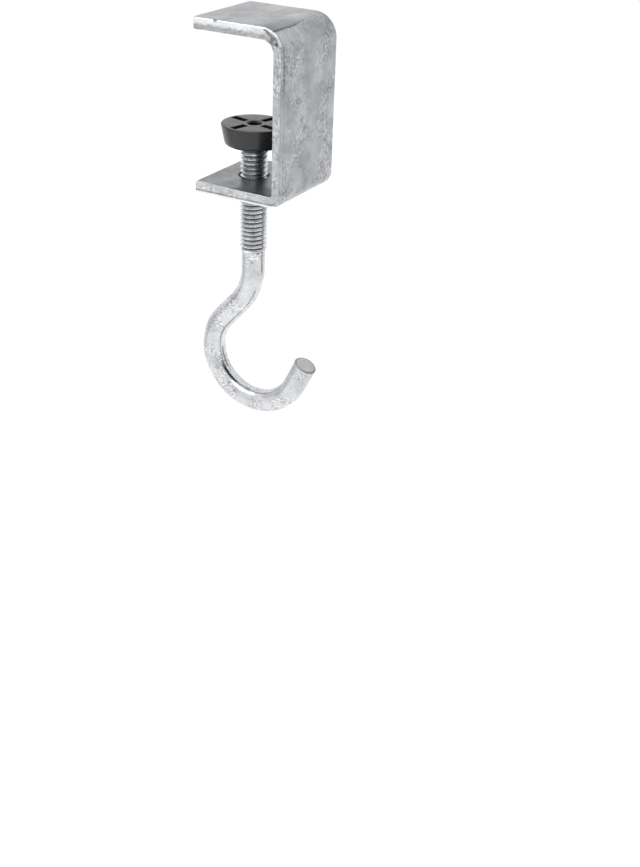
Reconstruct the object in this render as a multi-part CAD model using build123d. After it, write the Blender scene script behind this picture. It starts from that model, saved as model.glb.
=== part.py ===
from build123d import *
import os

# A clamp-on desk hook: a C-shaped bracket bent from flat bar grips the edge of a desk top,
# a screw through its lower jaw presses a swivelling pad up against the underside of the desk,
# and the lower end of the same screw is bent into a hook that carries a bag.
#
# Sizes are in millimetres. The origin lies on the screw's axis, in the plane of the upper jaw's
# underside, which is the face that rests on the desk top. +Z is up and +X points at the web,
# the bracket's closed side. Y runs across the bar.

# Flat bar
bar_width = 35.0
bar_thickness = 4.0
outer_edge_radius = 1.0
inner_edge_chamfer = 0.3
end_edge_chamfer = 0.3

# Bracket
jaw_gap = 50.0
jaw_length = 34.0
upper_bend_radius = 4.2
lower_bend_radius = 0.8
screw_to_web = 17.3

# Screw thread, drawn as its crest cylinder, and the tapped hole that it runs in
thread_diameter = 9.5
thread_clearance = 0.05
hole_chamfer = 0.6
thread_below_jaw = 24.3
thread_runout = 1.6
thread_end_chamfer = 0.7

# Rod and hook. Angles are in degrees.
rod_diameter = 8.5
plain_shank_length = 5.4
offset_bend_radius = 23.0
offset_bend_angle = 42.0
offset_straight_length = 9.4
hook_radius = 18.5
hook_tip_angle = 154.0
tip_straight_length = 10.5
tip_chamfer = 0.4

# Where the pad stands: the space between the upper jaw and the pad
clamp_opening = 32.0

# Pressure pad
pad_diameter = 22.8
pad_base_diameter = 20.2
pad_height = 7.2
pad_base_edge_radius = 1.4
pad_top_chamfer = 0.3
pad_hole_diameter = 4.9
pad_hole_chamfer = 0.45
slot_count = 4
slot_width = 2.7
slot_depth = 3.0
slot_to_hole = 1.5
slot_to_rim = 1.1
slot_turn = -14.0

# Neck and button on the screw's end, and the lip of the pad that snaps in behind the button
neck_diameter = 5.0
lip_thickness = 1.6
button_diameter = 6.6
button_height = 1.8
button_chamfer = 0.5
shoulder_depth = 1.2
swivel_clearance = 0.08
axial_play = 0.05
loose_clearance = 0.3

# How far a cutting shape runs past the face that it cuts
overrun = 1.0

# Heights and places that follow from the sizes above
upper_jaw_middle = bar_thickness / 2
lower_jaw_top = -jaw_gap
lower_jaw_bottom = lower_jaw_top - bar_thickness
lower_jaw_middle = lower_jaw_top - bar_thickness / 2
web_middle = screw_to_web + bar_thickness / 2
free_end = screw_to_web + bar_thickness - jaw_length
hole_radius = thread_diameter / 2 + thread_clearance
thread_end = lower_jaw_bottom - thread_below_jaw
pad_top = -clamp_opening
pad_base = pad_top - pad_height
lip_bottom = pad_base + shoulder_depth
lip_top = lip_bottom + lip_thickness
shoulder = lip_bottom - axial_play
button_bottom = lip_top + axial_play
button_top = button_bottom + button_height
chamber_top = button_top + loose_clearance
slot_inner = pad_hole_diameter / 2 + slot_to_hole
slot_outer = pad_diameter / 2 - slot_to_rim


def turned(*profile):
    """A solid of revolution about the screw's axis, from (radius, height) points."""
    outline = Polyline(*[(radius, 0, height) for radius, height in profile], close=True)
    return revolve(make_face(outline), Axis.Z)


def make_bracket():
    """Flat bar with rolled edges, bent twice, with sheared ends and a tapped hole in the lower jaw."""
    path = FilletPolyline(
        (free_end, 0, upper_jaw_middle),
        (web_middle, 0, upper_jaw_middle),
        (web_middle, 0, lower_jaw_middle),
        (free_end, 0, lower_jaw_middle),
        radius=[upper_bend_radius + bar_thickness / 2, lower_bend_radius + bar_thickness / 2],
    )
    section = Rectangle(bar_width, bar_thickness)
    section = chamfer(section.vertices().group_by(Axis.Y)[0], inner_edge_chamfer)
    section = fillet(section.vertices().group_by(Axis.Y)[-1], outer_edge_radius)
    start = Plane(path @ 0, x_dir=Vector(Y=1), z_dir=path % 0)
    bracket = sweep(start * section, path=path)
    ends = bracket.faces().filter_by(Axis.X).group_by(Axis.X)[0]
    bracket = chamfer(ends.edges(), end_edge_chamfer)
    mouth_radius = hole_radius + hole_chamfer + overrun
    tapped_hole = turned(
        (0, lower_jaw_top + overrun),
        (mouth_radius, lower_jaw_top + overrun),
        (hole_radius, lower_jaw_top - hole_chamfer),
        (hole_radius, lower_jaw_bottom + hole_chamfer),
        (mouth_radius, lower_jaw_bottom - overrun),
        (0, lower_jaw_bottom - overrun),
    )
    return bracket - tapped_hole


def make_hook_screw():
    """One rod: neck and button at the top, then the thread, then the bent hook."""
    thread_radius = thread_diameter / 2
    rod_radius = rod_diameter / 2
    turned_end = turned(
        (0, thread_end),
        (rod_radius, thread_end),
        (thread_radius, thread_end + thread_runout),
        (thread_radius, shoulder - thread_end_chamfer),
        (thread_radius - thread_end_chamfer, shoulder),
        (neck_diameter / 2, shoulder),
        (neck_diameter / 2, button_bottom),
        (button_diameter / 2, button_bottom),
        (button_diameter / 2, button_top - button_chamfer),
        (button_diameter / 2 - button_chamfer, button_top),
        (0, button_top),
    )
    with BuildLine(Plane.XZ) as route:
        shank = Line((0, thread_end), (0, thread_end - plain_shank_length))
        offset_bend = JernArc(shank @ 1, shank % 1, offset_bend_radius, -offset_bend_angle)
        offset_straight = PolarLine(offset_bend @ 1, offset_straight_length, direction=offset_bend % 1)
        bowl_angle = offset_bend_angle + hook_tip_angle
        bowl = JernArc(offset_straight @ 1, offset_straight % 1, hook_radius, bowl_angle)
        PolarLine(bowl @ 1, tip_straight_length, direction=bowl % 1)
    path = route.wire()
    start = Plane(path @ 0, z_dir=path % 0)
    rod = sweep(start * Circle(rod_radius), path=path)
    tip_face = rod.faces().filter_by(GeomType.PLANE).sort_by_distance(path @ 1)[0]
    rod = chamfer(tip_face.edges(), tip_chamfer)
    return turned_end + rod


def make_pressure_pad():
    """Moulded pad: tapered side, rounded base edge, centre hole, radial slots and a snap-in lip."""
    rim_radius = pad_diameter / 2
    pad = turned(
        (0, pad_base),
        (pad_base_diameter / 2, pad_base),
        (rim_radius, pad_top - pad_top_chamfer),
        (rim_radius - pad_top_chamfer, pad_top),
        (0, pad_top),
    )
    pad = fillet(pad.edges().filter_by(GeomType.CIRCLE).group_by(Axis.Z)[0], pad_base_edge_radius)
    recess_radius = thread_diameter / 2 + loose_clearance
    lip_radius = neck_diameter / 2 + swivel_clearance
    chamber_radius = button_diameter / 2 + loose_clearance
    hole_radius_at_top = pad_hole_diameter / 2 + pad_hole_chamfer + overrun
    pad -= turned(
        (0, pad_base - overrun),
        (recess_radius, pad_base - overrun),
        (recess_radius, lip_bottom),
        (lip_radius, lip_bottom),
        (lip_radius, lip_top),
        (chamber_radius, lip_top),
        (chamber_radius, chamber_top),
        (pad_hole_diameter / 2, chamber_top),
        (pad_hole_diameter / 2, pad_top - pad_hole_chamfer),
        (hole_radius_at_top, pad_top + overrun),
        (0, pad_top + overrun),
    )
    slot = Rectangle(slot_outer - slot_inner, slot_width)
    slot_places = PolarLocations((slot_inner + slot_outer) / 2, slot_count, start_angle=slot_turn)
    slot_floor = Plane.XY.offset(pad_top - slot_depth)
    slots = [extrude(slot_floor * place * slot, slot_depth + overrun) for place in slot_places]
    return pad - slots


pieces = {
    "bracket": make_bracket(),
    "hook_screw": make_hook_screw(),
    "pressure_pad": make_pressure_pad(),
}

os.makedirs("parts", exist_ok=True)
for name, piece in pieces.items():
    piece.label = name
    export_step(piece, f"parts/{name}.step")
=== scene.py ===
"""Looks of the clamp-on desk hook: meshes, finishes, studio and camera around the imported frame.

Lengths are in millimetres until a mesh, lamp or camera is made, and angles are in degrees.
"""
from __future__ import annotations

import logging
import math
from dataclasses import dataclass, replace
from enum import Enum, IntEnum
from typing import Callable

import bmesh
import bpy
from mathutils import Matrix, Vector, noise


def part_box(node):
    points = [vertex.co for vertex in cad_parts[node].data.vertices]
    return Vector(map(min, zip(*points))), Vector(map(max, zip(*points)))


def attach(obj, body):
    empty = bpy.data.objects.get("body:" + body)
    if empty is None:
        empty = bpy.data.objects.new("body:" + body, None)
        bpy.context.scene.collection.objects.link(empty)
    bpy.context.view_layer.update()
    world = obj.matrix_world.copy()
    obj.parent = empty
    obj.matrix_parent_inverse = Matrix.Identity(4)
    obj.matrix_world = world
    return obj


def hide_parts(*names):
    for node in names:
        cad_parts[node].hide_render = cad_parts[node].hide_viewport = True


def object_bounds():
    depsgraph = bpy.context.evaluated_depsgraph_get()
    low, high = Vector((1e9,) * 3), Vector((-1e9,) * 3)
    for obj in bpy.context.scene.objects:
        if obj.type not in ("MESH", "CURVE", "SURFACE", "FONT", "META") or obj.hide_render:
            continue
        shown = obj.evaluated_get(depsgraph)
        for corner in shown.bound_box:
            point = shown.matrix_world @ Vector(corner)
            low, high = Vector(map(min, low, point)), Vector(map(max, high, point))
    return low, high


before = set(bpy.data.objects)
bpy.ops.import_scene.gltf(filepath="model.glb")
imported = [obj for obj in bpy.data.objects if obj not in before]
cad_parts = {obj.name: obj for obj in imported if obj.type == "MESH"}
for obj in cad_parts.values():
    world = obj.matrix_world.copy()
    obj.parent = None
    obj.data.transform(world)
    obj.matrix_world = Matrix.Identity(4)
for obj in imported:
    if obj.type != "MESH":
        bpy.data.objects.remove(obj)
cad_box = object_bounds()

log = logging.getLogger("desk_hook")

MM = 0.001
ACROSS = Vector((0.0, 1.0, 0.0))
UP = Vector((0.0, 0.0, 1.0))
WHITE = "FFFFFF"

# The mesh attribute that says how much darker the coat is at a vertex, from wear and painted shade, from
# zero to one.
DULLED = "dulled"

# Vertices closer together than this become one.
MERGE_DISTANCE = 0.0005

# Faces that meet at more than this angle keep a crisp edge.
CRISP_METAL = 38.0
CRISP_PLASTIC = 32.0
CRISP_STAGE = 30.0

# How wide the slight swells along the rod are.
SWELL_SIZE = 3.0

# Nearly all values of a noise texture lie between these two.
NOISE_LOW = 0.3
NOISE_HIGH = 0.7

# The place of the colour among a Mix node's outputs.
MIXED_COLOUR = 2

Pair = tuple[float, float]
Ring = list[bmesh.types.BMVert]


class Body(Enum):
    """The bodies of the frame that the pieces ride on."""

    BRACKET = "bracket"
    PAD = "pad"
    HOOK = "hook"


class Slot(Enum):
    """The record's material slots."""

    BAR = "galvanised_bar"
    ROD = "zinc_plated_rod"
    PAD = "black_plastic"


class RodZone(IntEnum):
    """The hook screw's surfaces, by the material index of their faces."""

    ROD = 0
    THREAD = 1
    TIP = 2


class BarZone(IntEnum):
    """The bracket's surfaces, by the material index of their faces."""

    FACE = 0
    INNER_FACE = 1
    SLIT_EDGE = 2
    JAW_TOP = 3
    HOLE = 4
    CORNER = 5
    JAW_EDGE = 6


def node_box(node: str) -> tuple[Vector, Vector]:
    """Gives a CAD node's box.

    Args:
        node: The CAD node's name.

    Returns:
        Its lowest and highest corner, in millimetres.
    """
    low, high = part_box(node)
    return Vector(low) / MM, Vector(high) / MM


def linear(hex_colour: str) -> tuple[float, float, float, float]:
    """Turns an sRGB colour to the linear values that a shader works in.

    Args:
        hex_colour: Six hex digits, such as "B4B7B9".

    Returns:
        Linear red, green and blue, and an alpha of one.
    """
    values = []
    for start in (0, 2, 4):
        share = int(hex_colour[start:start + 2], 16) / 255
        values.append(share / 12.92 if share <= 0.04045 else ((share + 0.055) / 1.055) ** 2.4)
    return (values[0], values[1], values[2], 1.0)


def per_metre(feature: float) -> float:
    """Gives the texture scale at which one feature measures that many millimetres."""
    return 1.0 / (feature * MM)


def add_node(
    tree: bpy.types.NodeTree,
    kind: str,
    settings: dict[str, object] | None = None,
    links: dict[str, bpy.types.NodeSocket] | None = None,
) -> bpy.types.Node:
    """Adds one shader node.

    Args:
        tree: The node tree that gets it.
        kind: Its Blender type.
        settings: Values by the identifier of an input or the name of a property.
        links: The output that feeds each input, by the input's identifier.

    Returns:
        The new node.
    """
    node = tree.nodes.new(kind)
    # Properties go first, because some of them change which inputs a node has.
    for name, value in (settings or {}).items():
        if name not in [socket.identifier for socket in node.inputs]:
            setattr(node, name, value)
    sockets = {socket.identifier: socket for socket in node.inputs}
    for name, value in (settings or {}).items():
        if name in sockets:
            sockets[name].default_value = value
    for name, source in (links or {}).items():
        tree.links.new(source, sockets[name])
    return node


def start_material(name: str) -> bpy.types.Material:
    """Starts a material.

    Args:
        name: Its name.

    Returns:
        The material, with an empty node tree.
    """
    material = bpy.data.materials.new(name)
    material.use_nodes = True
    material.node_tree.nodes.clear()
    return material


@dataclass(frozen=True)
class ZincFinish:
    """A zinc coat on steel. Feature sizes and heights are in millimetres.

    The coat is never one tone: it clouds where the pickled steel took it unevenly, clusters of
    small light and dark grains show the steel's skin under it, and it dulls where it is worn or
    torn. It is also darkened as painted shade in the thread's grooves, the tapped hole and dents,
    along the press mark and down the web's corners. Where that is, each mesh says in its
    DULLED attribute.
    """

    name: str
    light: str
    dark: str
    # dull: the colour that wear and painted shade draw the coat towards.
    dull: str
    cloud_size: float
    cloud_share: float
    grain_size: float
    grain_share: float
    grain_height: float
    wave_height: float
    smooth: float
    rough: float
    cluster_size: float = 6.0
    cluster_low: float = 0.45
    cluster_high: float = 0.6
    scattered_share: float = 0.15
    wave_size: float = 5.0
    dulled_rough: float = 0.12
    stretch: tuple[float, float, float] = (1.0, 1.0, 1.0)

    def build(self) -> bpy.types.Material:
        """Makes the finish as a Blender material.

        Returns:
            The material, with its nodes.
        """
        material = start_material(self.name)
        tree = material.node_tree
        place = add_node(tree, "ShaderNodeTexCoord").outputs["Object"]
        mapping = add_node(tree, "ShaderNodeMapping", {"Scale": self.stretch}, {"Vector": place})
        drawn = mapping.outputs["Vector"]
        cloud, grain, cluster, wave = [
            add_node(
                tree,
                "ShaderNodeTexNoise",
                {"Scale": per_metre(size), "Detail": detail, "Roughness": fine_share},
                {"Vector": source},
            ).outputs["Fac"]
            for size, detail, fine_share, source in (
                (self.cloud_size, 4.0, 0.6, drawn),
                (self.grain_size, 3.0, 0.6, drawn),
                (self.cluster_size, 2.0, 0.6, place),
                (self.wave_size, 2.0, 0.5, place),
            )
        ]
        cloudy, gathered, grains = [
            add_node(
                tree,
                "ShaderNodeMapRange",
                {"From Min": low, "From Max": high, "To Min": least, "To Max": most},
                {"Value": source},
            ).outputs["Result"]
            for source, low, high, least, most in (
                (cloud, NOISE_LOW, NOISE_HIGH, 0.5 - self.cloud_share, 0.5 + self.cloud_share),
                (cluster, self.cluster_low, self.cluster_high, self.scattered_share, 1.0),
                (grain, NOISE_LOW, NOISE_HIGH, -self.grain_share, self.grain_share),
            )
        ]
        dulled = add_node(tree, "ShaderNodeAttribute", {"attribute_name": DULLED}).outputs["Fac"]
        tone = add_node(
            tree,
            "ShaderNodeMath",
            {"operation": "MULTIPLY_ADD", "use_clamp": True},
            {"Value": grains, "Value_001": gathered, "Value_002": cloudy},
        ).outputs["Value"]
        coat = add_node(
            tree,
            "ShaderNodeMix",
            {"data_type": "RGBA", "A_Color": linear(self.dark), "B_Color": linear(self.light)},
            {"Factor_Float": tone},
        ).outputs[MIXED_COLOUR]
        # Wear and painted shade, as the mesh's DULLED attribute says, draw the coat towards the dull
        # colour.
        colour = add_node(
            tree,
            "ShaderNodeMix",
            {"data_type": "RGBA", "B_Color": linear(self.dull)},
            {"Factor_Float": dulled, "A_Color": coat},
        ).outputs[MIXED_COLOUR]
        gloss = add_node(
            tree,
            "ShaderNodeMapRange",
            {"To Min": self.rough, "To Max": self.smooth},
            {"Value": tone},
        ).outputs["Result"]
        roughness = add_node(
            tree,
            "ShaderNodeMath",
            {"operation": "MULTIPLY_ADD", "Value_001": self.dulled_rough},
            {"Value": dulled, "Value_002": gloss},
        ).outputs["Value"]
        waves = add_node(
            tree,
            "ShaderNodeBump",
            {"Strength": 1.0, "Distance": self.wave_height * MM},
            {"Height": wave},
        ).outputs["Normal"]
        relief = add_node(
            tree,
            "ShaderNodeBump",
            {"Strength": 1.0, "Distance": self.grain_height * MM},
            {"Height": grain, "Normal": waves},
        ).outputs["Normal"]
        shader = add_node(
            tree,
            "ShaderNodeBsdfPrincipled",
            {"Metallic": 1.0},
            {"Base Color": colour, "Roughness": roughness, "Normal": relief},
        )
        add_node(tree, "ShaderNodeOutputMaterial", links={"Surface": shader.outputs["BSDF"]})
        return material


# Hot-rolled flat bar, pickled and zinc plated: a cloudy satin grey with clusters of fine grain.
# Its dull colour also takes the painted shade down the web's corners.
ROLLED_BAR = ZincFinish(
    name="zinc_plated_rolled_steel",
    light="CACCCE",
    dark="929497",
    dull="6E7073",
    cloud_size=7.5,
    cloud_share=0.3,
    grain_size=1.0,
    grain_share=0.6,
    grain_height=0.007,
    wave_height=0.05,
    smooth=0.3,
    rough=0.46,
    cluster_size=9.0,
)

# The upper jaw's top was flattened by the press: the same coat, lighter and calmer.
# Its dull colour takes the painted shade along the press mark and in the run up to it.
FLATTENED_BAR = ZincFinish(
    name="zinc_plated_flattened_steel",
    light="BBBCBE",
    dark="929497",
    dull="585A5D",
    cloud_size=6.5,
    cloud_share=0.42,
    grain_size=0.9,
    grain_share=0.22,
    grain_height=0.004,
    wave_height=0.05,
    smooth=0.28,
    rough=0.4,
    stretch=(1.0, 0.45, 1.0),
)

# The corners that the press held, taken as burnished: their near-white coat is a painted highlight
# that widens the lamp's bright line along the jaws and the upper bend.
BURNISHED_CORNER = ZincFinish(
    name="zinc_plated_corner_highlight",
    light="F4F5F7",
    dark="E2E4E6",
    dull="3A3C3F",
    cloud_size=3.0,
    cloud_share=0.4,
    grain_size=0.8,
    grain_share=0.3,
    grain_height=0.006,
    wave_height=0.03,
    smooth=0.2,
    rough=0.36,
)

# The bar's inner side lay against the bending former: pressed smooth, darker and glossier.
PRESSED_BAR = ZincFinish(
    name="zinc_plated_pressed_steel",
    light="9A9C9D",
    dark="797B7E",
    dull="2C2E31",
    cloud_size=6.0,
    cloud_share=0.45,
    grain_size=0.9,
    grain_share=0.25,
    grain_height=0.003,
    wave_height=0.05,
    smooth=0.3,
    rough=0.45,
)

# Slit edges and sheared ends: torn steel under the zinc, lighter and coarser than the faces.
SHEARED_EDGE = ZincFinish(
    name="zinc_plated_sheared_steel",
    light="ECEDEF",
    dark="A0A2A5",
    dull="4A4C4F",
    cloud_size=3.5,
    cloud_share=0.22,
    grain_size=0.7,
    grain_share=0.85,
    grain_height=0.022,
    wave_height=0.04,
    smooth=0.24,
    rough=0.45,
    stretch=(1.0, 1.0, 0.6),
)

# The same slit edge along the jaws, where the slitter's streaks run the other way.
SHEARED_JAW_EDGE = replace(
    SHEARED_EDGE,
    name="zinc_plated_sheared_jaw_edge",
    grain_share=0.5,
    stretch=(0.5, 1.0, 1.0),
)

# Cold-drawn rod, bright zinc plated: smooth and light, grainy where the bending tool held it.
BRIGHT_ROD = ZincFinish(
    name="bright_zinc_plated_drawn_steel",
    light="F0F1F3",
    dark="A0A2A5",
    dull="8E9093",
    cloud_size=7.0,
    cloud_share=0.24,
    grain_size=0.7,
    grain_share=0.9,
    grain_height=0.012,
    wave_height=0.08,
    smooth=0.08,
    rough=0.26,
    cluster_size=9.0,
)

# Rolled thread: bright on the crests that the die burnished; rougher in the grooves, and darker there as
# painted shade.
ROLLED_THREAD = ZincFinish(
    name="zinc_plated_rolled_thread",
    light="F2F3F5",
    dark="B0B2B5",
    dull="2C2E31",
    cloud_size=3.0,
    cloud_share=0.35,
    grain_size=0.7,
    grain_share=0.6,
    grain_height=0.014,
    wave_height=0.03,
    smooth=0.14,
    rough=0.34,
)

# The rod's sawn tip: flat, matt grey, with the saw's fine lines softened by the zinc.
SAWN_TIP = ZincFinish(
    name="zinc_plated_sawn_steel",
    light="C6C7C9",
    dark="B0B2B4",
    dull="77797C",
    cloud_size=2.5,
    cloud_share=0.3,
    grain_size=0.6,
    grain_share=0.4,
    grain_height=0.006,
    wave_height=0.01,
    smooth=0.42,
    rough=0.55,
    stretch=(1.0, 0.3, 1.0),
)

ROD_FINISHES = {RodZone.ROD: BRIGHT_ROD, RodZone.THREAD: ROLLED_THREAD, RodZone.TIP: SAWN_TIP}
BAR_FINISHES = {
    BarZone.FACE: ROLLED_BAR,
    BarZone.INNER_FACE: PRESSED_BAR,
    BarZone.SLIT_EDGE: SHEARED_EDGE,
    BarZone.JAW_TOP: FLATTENED_BAR,
    BarZone.HOLE: ROLLED_THREAD,
    BarZone.CORNER: BURNISHED_CORNER,
    BarZone.JAW_EDGE: SHEARED_JAW_EDGE,
}


@dataclass(frozen=True)
class MouldedNylon:
    """Black nylon, injection moulded: a soft sheen over fine spark grain, paler where worn."""

    name: str = "moulded_black_nylon"
    colour: str = "1A1B1D"
    rubbed: str = "2E3033"
    index: float = 1.53
    flow_size: float = 5.0
    grain_size: float = 0.35
    grain_height: float = 0.006
    smooth: float = 0.2
    rough: float = 0.34

    def build(self) -> bpy.types.Material:
        """Makes the finish as a Blender material.

        Returns:
            The material, with its nodes.
        """
        material = start_material(self.name)
        tree = material.node_tree
        place = add_node(tree, "ShaderNodeTexCoord").outputs["Object"]
        flow = add_node(
            tree,
            "ShaderNodeTexNoise",
            {"Scale": per_metre(self.flow_size), "Detail": 3.0, "Distortion": 0.8},
            {"Vector": place},
        ).outputs["Fac"]
        # Spark grain is about 0.1 mm on the real pad, which a pixel can't show, so it is coarser.
        grain = add_node(
            tree,
            "ShaderNodeTexNoise",
            {"Scale": per_metre(self.grain_size), "Detail": 2.0},
            {"Vector": place},
        ).outputs["Fac"]
        colour = add_node(
            tree,
            "ShaderNodeMix",
            {"data_type": "RGBA", "A_Color": linear(self.colour), "B_Color": linear(self.rubbed)},
            {"Factor_Float": flow},
        ).outputs[MIXED_COLOUR]
        gloss = add_node(
            tree,
            "ShaderNodeMapRange",
            {
                "From Min": NOISE_LOW,
                "From Max": NOISE_HIGH,
                "To Min": self.smooth,
                "To Max": self.rough,
            },
            {"Value": flow},
        ).outputs["Result"]
        relief = add_node(
            tree,
            "ShaderNodeBump",
            {"Strength": 1.0, "Distance": self.grain_height * MM},
            {"Height": grain},
        ).outputs["Normal"]
        shader = add_node(
            tree,
            "ShaderNodeBsdfPrincipled",
            {"IOR": self.index},
            {"Base Color": colour, "Roughness": gloss, "Normal": relief},
        )
        add_node(tree, "ShaderNodeOutputMaterial", links={"Surface": shader.outputs["BSDF"]})
        return material


@dataclass(frozen=True)
class Station:
    """A place on a bent bar's centre line, with the direction that the line runs in there."""

    point: Vector
    along: Vector

    @property
    def outward(self) -> Vector:
        """The direction square to the line, in the plane of its bends."""
        return self.along.cross(ACROSS)


class BentLine:
    """A centre line of straight runs and tangent arcs in the XZ plane, walked from its start."""

    def __init__(self, start: Vector, along: Vector) -> None:
        """Starts the line.

        Args:
            start: Its first point.
            along: The direction that it leaves in.
        """
        self.stations = [Station(start, along.normalized())]

    def run(self, length: float, step: float) -> None:
        """Goes straight on.

        Args:
            length: How far.
            step: The longest distance between two stations.
        """
        last = self.stations[-1]
        count = max(1, math.ceil(length / step))
        for index in range(1, count + 1):
            self.stations.append(Station(last.point + last.along * (length * index / count), last.along))

    def bend(self, radius: float, angle: float, step: float) -> None:
        """Goes round an arc.

        Args:
            radius: The arc's radius.
            angle: The turn, positive towards the outward side and negative away from it.
            step: The longest distance between two stations.
        """
        last = self.stations[-1]
        centre = last.point + last.outward * math.copysign(radius, angle)
        count = max(2, math.ceil(radius * math.radians(abs(angle)) / step))
        for index in range(1, count + 1):
            turn = Matrix.Rotation(math.radians(-angle * index / count), 3, ACROSS)
            point = centre + turn @ (last.point - centre)
            self.stations.append(Station(point, turn @ last.along))


def uneven(point: Vector, size: float) -> float:
    """Gives a smooth, repeatable unevenness.

    Args:
        point: Where, in millimetres.
        size: How wide its swells are.

    Returns:
        A height between about minus one and one.
    """
    return noise.noise(point / size)


def arc(centre: Pair, radius: float, first: float, last: float, count: int) -> list[Pair]:
    """Gives points on an arc, both ends included.

    Args:
        centre: The arc's centre.
        radius: Its radius.
        first: The angle of its first point.
        last: The angle of its last point.
        count: The number of steps between them.

    Returns:
        The points.
    """
    points = []
    for index in range(count + 1):
        angle = math.radians(first + (last - first) * index / count)
        points.append((centre[0] + radius * math.cos(angle), centre[1] + radius * math.sin(angle)))
    return points


def start_mesh() -> bmesh.types.BMesh:
    """Starts an empty mesh.

    Returns:
        The mesh, whose vertices can be darkened.
    """
    work = bmesh.new()
    work.verts.layers.float.new(DULLED)
    return work


def add_vertex(work: bmesh.types.BMesh, place: Vector, dulled: float = 0.0) -> bmesh.types.BMVert:
    """Adds a vertex.

    Args:
        work: The mesh.
        place: Where it is.
        dulled: How much darker the coat is there, from wear and painted shade, from zero to one.

    Returns:
        The vertex.
    """
    vertex = work.verts.new(place)
    vertex[work.verts.layers.float[DULLED]] = min(1.0, max(0.0, dulled))
    return vertex


def loft(
    work: bmesh.types.BMesh,
    rows: list[Ring],
    closed: bool = True,
    zones: int | list[int] = 0,
) -> None:
    """Joins rows of vertices with faces, each row to the next.

    Args:
        work: The mesh.
        rows: The rows, with as many vertices each.
        closed: Whether the rows are rings.
        zones: The material index of all the faces, or one for each face along a row.
    """
    count = len(rows[0])
    for first, second in zip(rows, rows[1:]):
        for index in range(count if closed else count - 1):
            after = (index + 1) % count
            face = work.faces.new((first[index], first[after], second[after], second[index]))
            face.material_index = zones if isinstance(zones, int) else zones[index]


def make_piece(
    work: bmesh.types.BMesh,
    name: str,
    finishes: list[bpy.types.Material],
    sharp: float,
) -> bpy.types.Object:
    """Turns a mesh that was built in millimetres to a shaded object.

    Args:
        work: The mesh, which is freed.
        name: The object's name.
        finishes: Its materials, in the order of the faces' indices.
        sharp: Faces that meet at more than this angle keep a crisp edge.

    Returns:
        The object, in the scene.
    """
    bmesh.ops.recalc_face_normals(work, faces=work.faces)
    work.transform(Matrix.Scale(MM, 4))
    mesh = bpy.data.meshes.new(name)
    work.to_mesh(mesh)
    work.free()
    mesh.shade_smooth()
    mesh.set_sharp_from_angle(angle=math.radians(sharp))
    for finish in finishes:
        mesh.materials.append(finish)
    piece = bpy.data.objects.new(name, mesh)
    bpy.context.scene.collection.objects.link(piece)
    return piece


def cut(piece: bpy.types.Object, tool: bpy.types.Object, sharp: float) -> None:
    """Cuts one object out of another and removes the cutting object.

    Args:
        piece: What is cut.
        tool: The shape that is taken away.
        sharp: Faces that meet at more than this angle keep a crisp edge.
    """
    modifier = piece.modifiers.new("cut", "BOOLEAN")
    modifier.operation = "DIFFERENCE"
    modifier.solver = "EXACT"
    modifier.object = tool
    graph = bpy.context.evaluated_depsgraph_get()
    result = bpy.data.meshes.new_from_object(piece.evaluated_get(graph))
    piece.modifiers.clear()
    old = piece.data
    piece.data = result
    bpy.data.meshes.remove(old)
    bpy.data.objects.remove(tool)
    piece.data.set_sharp_from_angle(angle=math.radians(sharp))


@dataclass(frozen=True)
class ThreadForm:
    """The screw's right-hand thread: 16 turns to the inch on a crest diameter of 9.5 mm."""

    crest_radius: float = 4.75
    pitch: float = 25.4 / 16
    depth_share: float = 0.6134
    crest_share: float = 0.2
    flank_angle: float = 30.0
    ease_share: float = 0.03
    ease_depth: float = 0.06
    columns: int = 96

    @property
    def depth(self) -> float:
        """The height of the thread from root to crest."""
        return self.pitch * self.depth_share

    @property
    def outline(self) -> list[Pair]:
        """One turn as (share of the pitch, depth below the crest), with eased corners."""
        flank = self.depth_share * math.tan(math.radians(self.flank_angle))
        crest = self.crest_share
        ease, eased = self.ease_share, self.ease_depth
        shares = [
            (0.0, eased),
            (ease, 0.0),
            (crest - ease, 0.0),
            (crest, eased),
            (crest + flank / 2, 0.5),
            (crest + flank - ease, 1.0 - eased),
            (crest + flank + ease, 1.0),
            (1.0 - flank - ease, 1.0),
            (1.0 - flank + ease, 1.0 - eased),
            (1.0 - flank / 2, 0.5),
        ]
        return [(share, depth * self.depth) for share, depth in shares]

    def wrap(
        self,
        work: bmesh.types.BMesh,
        phase: float,
        low: float,
        high: float,
        shape: Callable[[float, float], Pair],
        zone: int,
    ) -> None:
        """Winds the thread's surface round the screw's axis, with rows that follow the helix.

        Args:
            work: The mesh that gets the faces.
            phase: A height at which the outline starts, at the first column.
            low: The surface's lower end, a flat ring.
            high: Its upper end, a flat ring.
            shape: Gives a point's radius and darkening from its height and its depth below the crest.
            zone: The material index of the faces.
        """
        per_turn = len(self.outline)
        first_turn = math.floor((low - phase) / self.pitch) - 1
        last_turn = math.ceil((high - phase) / self.pitch) + 1
        rows = []
        for turn in range(first_turn, last_turn + 1):
            for share, depth in self.outline:
                row = []
                for column in range(self.columns):
                    round_share = column / self.columns
                    angle = math.tau * round_share
                    height = phase + (turn + share + round_share) * self.pitch
                    height = min(max(height, low), high)
                    reach, dulled = shape(height, depth)
                    place = Vector((reach * math.cos(angle), reach * math.sin(angle), height))
                    row.append(add_vertex(work, place, dulled))
                rows.append(row)
        for index in range(len(rows) - per_turn - 1):
            lower, upper = rows[index], rows[index + 1]
            lower_end, upper_end = rows[index + per_turn][0], rows[index + per_turn + 1][0]
            loft(work, [lower + [lower_end], upper + [upper_end]], closed=False, zones=zone)
        spare = [vertex for vertex in work.verts if not vertex.link_faces]
        bmesh.ops.delete(work, geom=spare, context="VERTS")


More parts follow.
